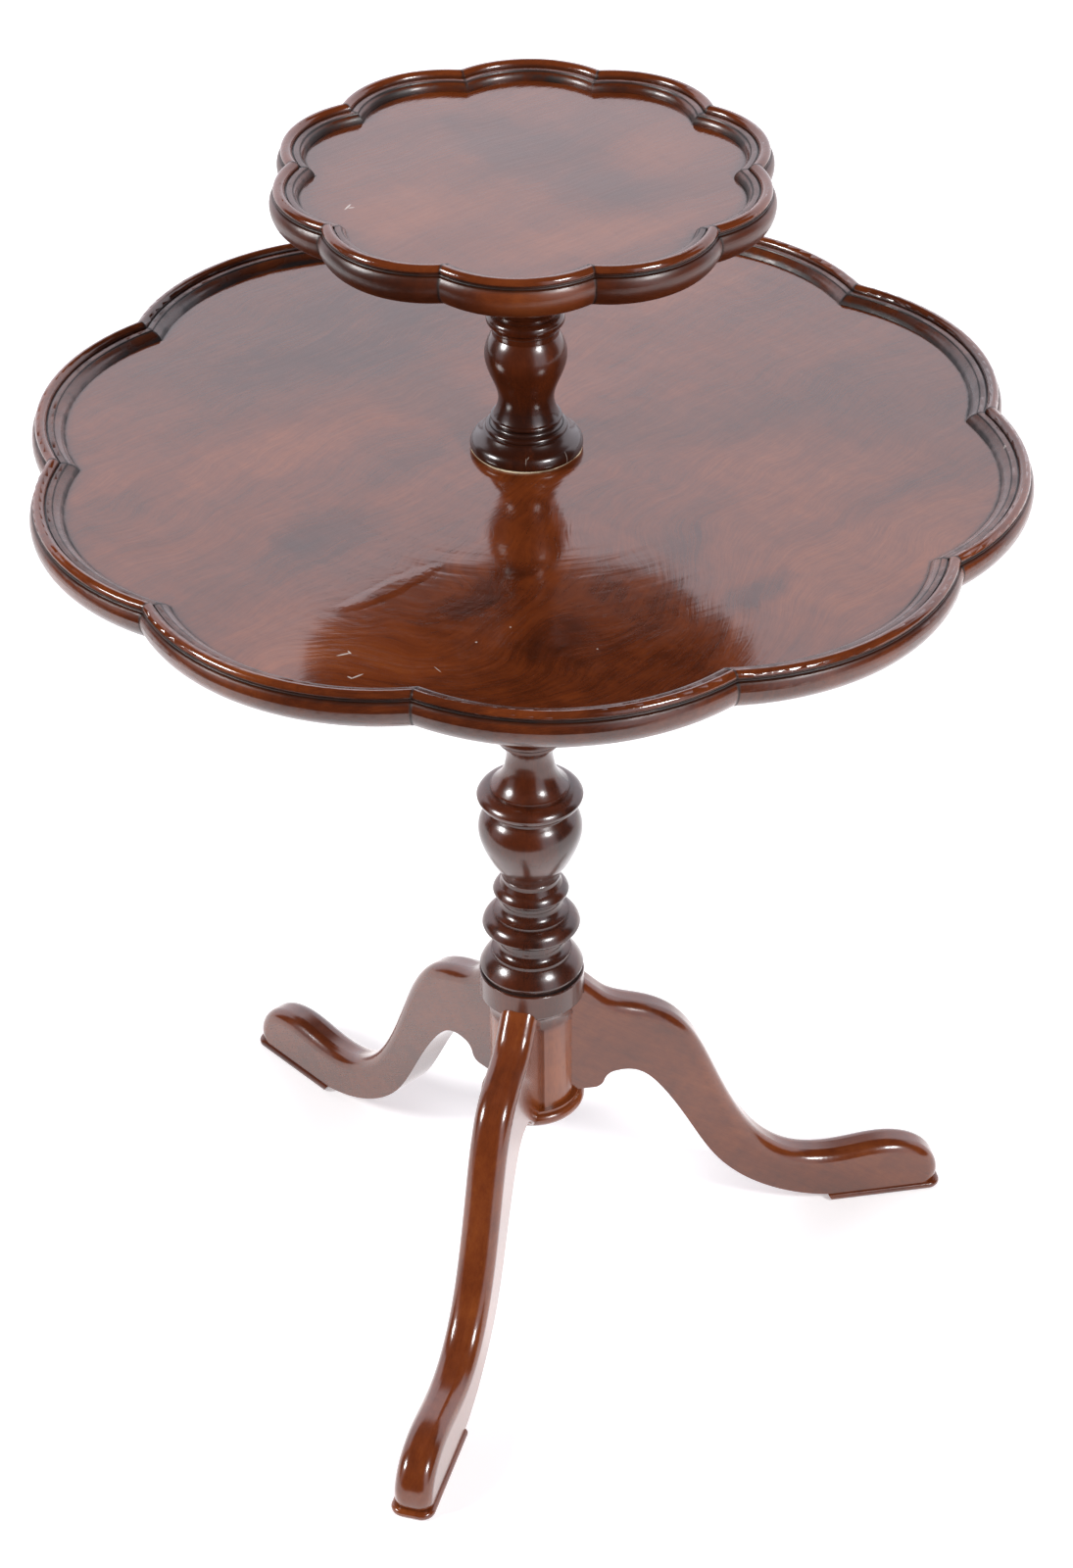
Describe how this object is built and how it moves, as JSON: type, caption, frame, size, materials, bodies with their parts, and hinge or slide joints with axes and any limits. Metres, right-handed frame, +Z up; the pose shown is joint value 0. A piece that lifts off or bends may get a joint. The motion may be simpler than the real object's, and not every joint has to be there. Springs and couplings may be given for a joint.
{
  "type": "tiered side table",
  "caption": "Tiered side table: lobed trays with moulded rims on a turned pillar with cabriole legs; the upper stage screws into the lower pillar through the main tray.",
  "frame": {"origin": "on the floor under the pillar's axis, in the plane of the foot pads' undersides", "axes": "+Z up along the pillar's axis; -Y towards the side with the front leg, +X towards the right leg"},
  "size_m": [0.6022, 0.6088, 0.8147],
  "materials": {
    "lower_tray_wood": "gloss french polish, figured mahogany",
    "upper_tray_wood": "gloss french polish, figured mahogany",
    "lower_pillar_wood": "gloss french polish, turned mahogany",
    "upper_pillar_wood": "gloss french polish, turned mahogany",
    "front_leg_wood": "gloss french polish, sawn mahogany",
    "right_leg_wood": "gloss french polish, sawn mahogany",
    "left_leg_wood": "gloss french polish, sawn mahogany",
    "front_pad_wood": "gloss french polish, worn at the floor",
    "right_pad_wood": "gloss french polish, worn at the floor",
    "left_pad_wood": "gloss french polish, worn at the floor",
    "pin_brass": "dull brass",
    "base_cap_wood": "gloss french polish, turned mahogany",
    "screw_steel": "dull steel",
    "bearer_wood": "satin, thin polish",
    "insert_brass": "machined brass",
    "stud_steel": "plated steel thread",
    "washer_card": "pale hide, cut edge",
    "wedge_wood": "bare oak"
  },
  "bodies": {
    "base": {"lower_pillar": "lower_pillar_wood", "front_leg": "front_leg_wood", "right_leg": "right_leg_wood", "left_leg": "left_leg_wood", "front_foot_pad": "front_pad_wood", "right_foot_pad": "right_pad_wood", "left_foot_pad": "left_pad_wood", "foot_pad_pins": "pin_brass", "pillar_base_cap": "base_cap_wood", "base_cap_screws": "screw_steel", "lower_bearer": "bearer_wood", "lower_bearer_screws": "screw_steel", "lower_tray": "lower_tray_wood", "threaded_insert": "insert_brass"},
    "screw_carrier": {"seat_washer": "washer_card"},
    "upper_stage": {"upper_pillar": "upper_pillar_wood", "joining_stud": "stud_steel", "upper_bearer": "bearer_wood", "upper_bearer_screws": "screw_steel", "upper_tenon_wedge": "wedge_wood", "upper_tray": "upper_tray_wood"}
  },
  "joints": [
    {"name": "upper_stage_lift", "type": "slide", "parent": "base", "child": "screw_carrier", "axis": [0, 0, 1], "range_m": [0, 0.01801]},
    {"name": "upper_stage_turn", "type": "hinge", "parent": "screw_carrier", "child": "upper_stage", "pos_m": [0, 0, 0.63], "axis": [0, 0, 1], "range_deg": [0, 4320]}
  ],
  "couplings": [
    {"joint": "upper_stage_lift", "follows": "upper_stage_turn", "m_per_rad": 0.00023873}
  ]
}
